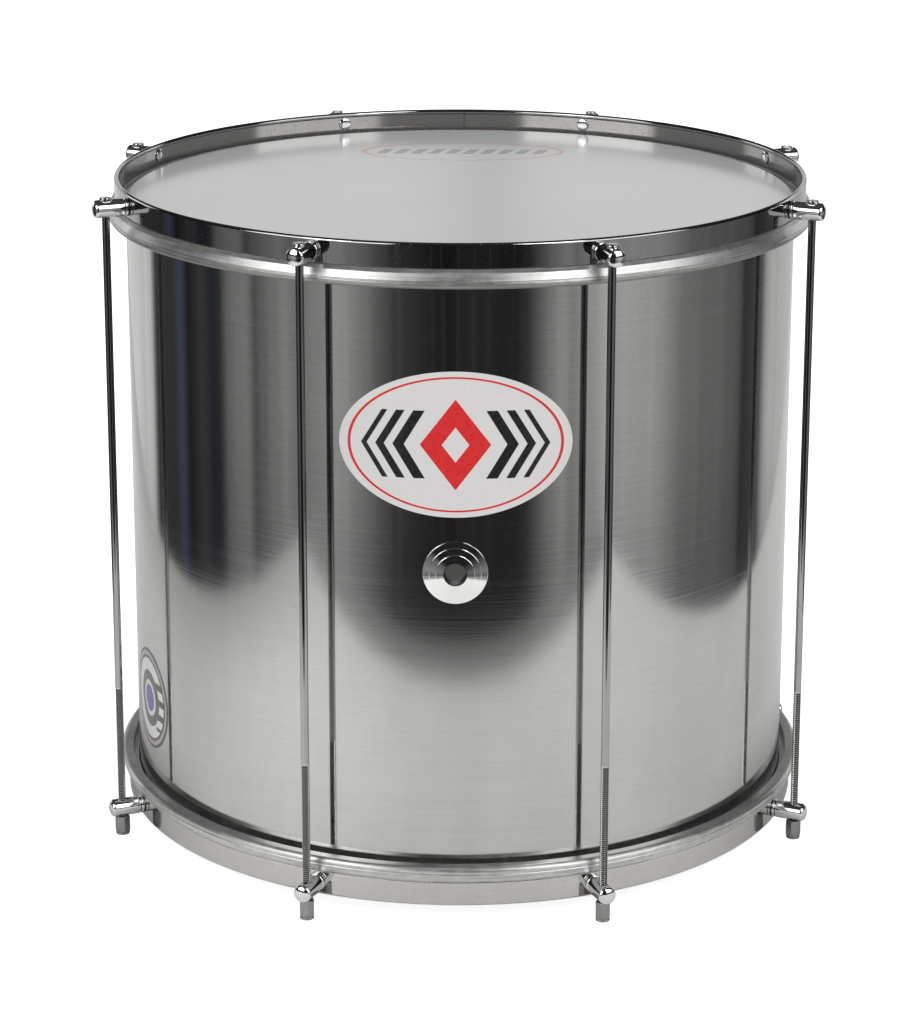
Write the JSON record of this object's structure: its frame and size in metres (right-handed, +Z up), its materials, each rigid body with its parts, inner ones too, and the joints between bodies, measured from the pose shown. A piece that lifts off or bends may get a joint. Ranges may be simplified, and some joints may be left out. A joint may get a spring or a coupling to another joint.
{
  "type": "surdo drum",
  "caption": "Deep two-headed bass drum with a polished metal shell, banded counterhoops, straight tension rods between round posts, long hexagonal nuts and a front vent.",
  "frame": {"origin": "on the drum's axis, level with the lower faces of the tension nuts that it stands on", "axes": "+Z up along the drum's axis towards the playing head, -Y towards the vent, +X to the right seen from the vent's side"},
  "size_m": [0.5356, 0.5356, 0.5],
  "materials": {
    "shell_metal": "polished with fine brushing round the drum",
    "chrome": "mirror chrome",
    "rod_chrome": "bright chrome, slightly worn",
    "zinc": "satin zinc",
    "bare_aluminium": "bare, scratched along its length",
    "milky_film": "milky, semi-gloss"
  },
  "bodies": {
    "drum": {"shell": "shell_metal", "vent_escutcheon": "chrome", "vent_backing_ring": "chrome", "top_head": "milky_film", "bottom_head": "milky_film", "top_flesh_hoop": "bare_aluminium", "bottom_flesh_hoop": "bare_aluminium", "bottom_counterhoop": "chrome", "bottom_post_1": "chrome", "bottom_post_2": "chrome", "bottom_post_3": "chrome", "bottom_post_4": "chrome", "bottom_post_5": "chrome", "bottom_post_6": "chrome", "bottom_post_7": "chrome", "bottom_post_8": "chrome", "bottom_washer_1": "chrome", "bottom_washer_2": "chrome", "bottom_washer_3": "chrome", "bottom_washer_4": "chrome", "bottom_washer_5": "chrome", "bottom_washer_6": "chrome", "bottom_washer_7": "chrome", "bottom_washer_8": "chrome"},
    "top_hoop": {"top_counterhoop": "chrome", "top_post_1": "chrome", "top_post_2": "chrome", "top_post_3": "chrome", "top_post_4": "chrome", "top_post_5": "chrome", "top_post_6": "chrome", "top_post_7": "chrome", "top_post_8": "chrome", "top_washer_1": "chrome", "top_washer_2": "chrome", "top_washer_3": "chrome", "top_washer_4": "chrome", "top_washer_5": "chrome", "top_washer_6": "chrome", "top_washer_7": "chrome", "top_washer_8": "chrome", "tension_rod_1": "rod_chrome", "tension_rod_2": "rod_chrome", "tension_rod_3": "rod_chrome", "tension_rod_4": "rod_chrome", "tension_rod_5": "rod_chrome", "tension_rod_6": "rod_chrome", "tension_rod_7": "rod_chrome", "tension_rod_8": "rod_chrome"},
    "nut_1": {"tension_nut_1": "zinc"},
    "nut_2": {"tension_nut_2": "zinc"},
    "nut_3": {"tension_nut_3": "zinc"},
    "nut_4": {"tension_nut_4": "zinc"},
    "nut_5": {"tension_nut_5": "zinc"},
    "nut_6": {"tension_nut_6": "zinc"},
    "nut_7": {"tension_nut_7": "zinc"},
    "nut_8": {"tension_nut_8": "zinc"}
  },
  "joints": [
    {"name": "hoop_lift", "type": "slide", "parent": "drum", "child": "top_hoop", "axis": [0, 0, 1], "range_m": [0, 0.012]},
    {"name": "nut_turn_1", "type": "hinge", "parent": "drum", "child": "nut_1", "pos_m": [0.10673, -0.25767, 0], "axis": [0, 0, -1], "range_deg": [0, 4320]},
    {"name": "nut_turn_2", "type": "hinge", "parent": "drum", "child": "nut_2", "pos_m": [0.25767, -0.10673, 0], "axis": [0, 0, -1], "range_deg": [0, 4320]},
    {"name": "nut_turn_3", "type": "hinge", "parent": "drum", "child": "nut_3", "pos_m": [0.25767, 0.10673, 0], "axis": [0, 0, -1], "range_deg": [0, 4320]},
    {"name": "nut_turn_4", "type": "hinge", "parent": "drum", "child": "nut_4", "pos_m": [0.10673, 0.25767, 0], "axis": [0, 0, -1], "range_deg": [0, 4320]},
    {"name": "nut_turn_5", "type": "hinge", "parent": "drum", "child": "nut_5", "pos_m": [-0.10673, 0.25767, 0], "axis": [0, 0, -1], "range_deg": [0, 4320]},
    {"name": "nut_turn_6", "type": "hinge", "parent": "drum", "child": "nut_6", "pos_m": [-0.25767, 0.10673, 0], "axis": [0, 0, -1], "range_deg": [0, 4320]},
    {"name": "nut_turn_7", "type": "hinge", "parent": "drum", "child": "nut_7", "pos_m": [-0.25767, -0.10673, 0], "axis": [0, 0, -1], "range_deg": [0, 4320]},
    {"name": "nut_turn_8", "type": "hinge", "parent": "drum", "child": "nut_8", "pos_m": [-0.10673, -0.25767, 0], "axis": [0, 0, -1], "range_deg": [0, 4320]}
  ],
  "couplings": [
    {"joint": "nut_turn_1", "follows": "hoop_lift", "rad_per_m": 6283.2},
    {"joint": "nut_turn_2", "follows": "hoop_lift", "rad_per_m": 6283.2},
    {"joint": "nut_turn_3", "follows": "hoop_lift", "rad_per_m": 6283.2},
    {"joint": "nut_turn_4", "follows": "hoop_lift", "rad_per_m": 6283.2},
    {"joint": "nut_turn_5", "follows": "hoop_lift", "rad_per_m": 6283.2},
    {"joint": "nut_turn_6", "follows": "hoop_lift", "rad_per_m": 6283.2},
    {"joint": "nut_turn_7", "follows": "hoop_lift", "rad_per_m": 6283.2},
    {"joint": "nut_turn_8", "follows": "hoop_lift", "rad_per_m": 6283.2}
  ]
}
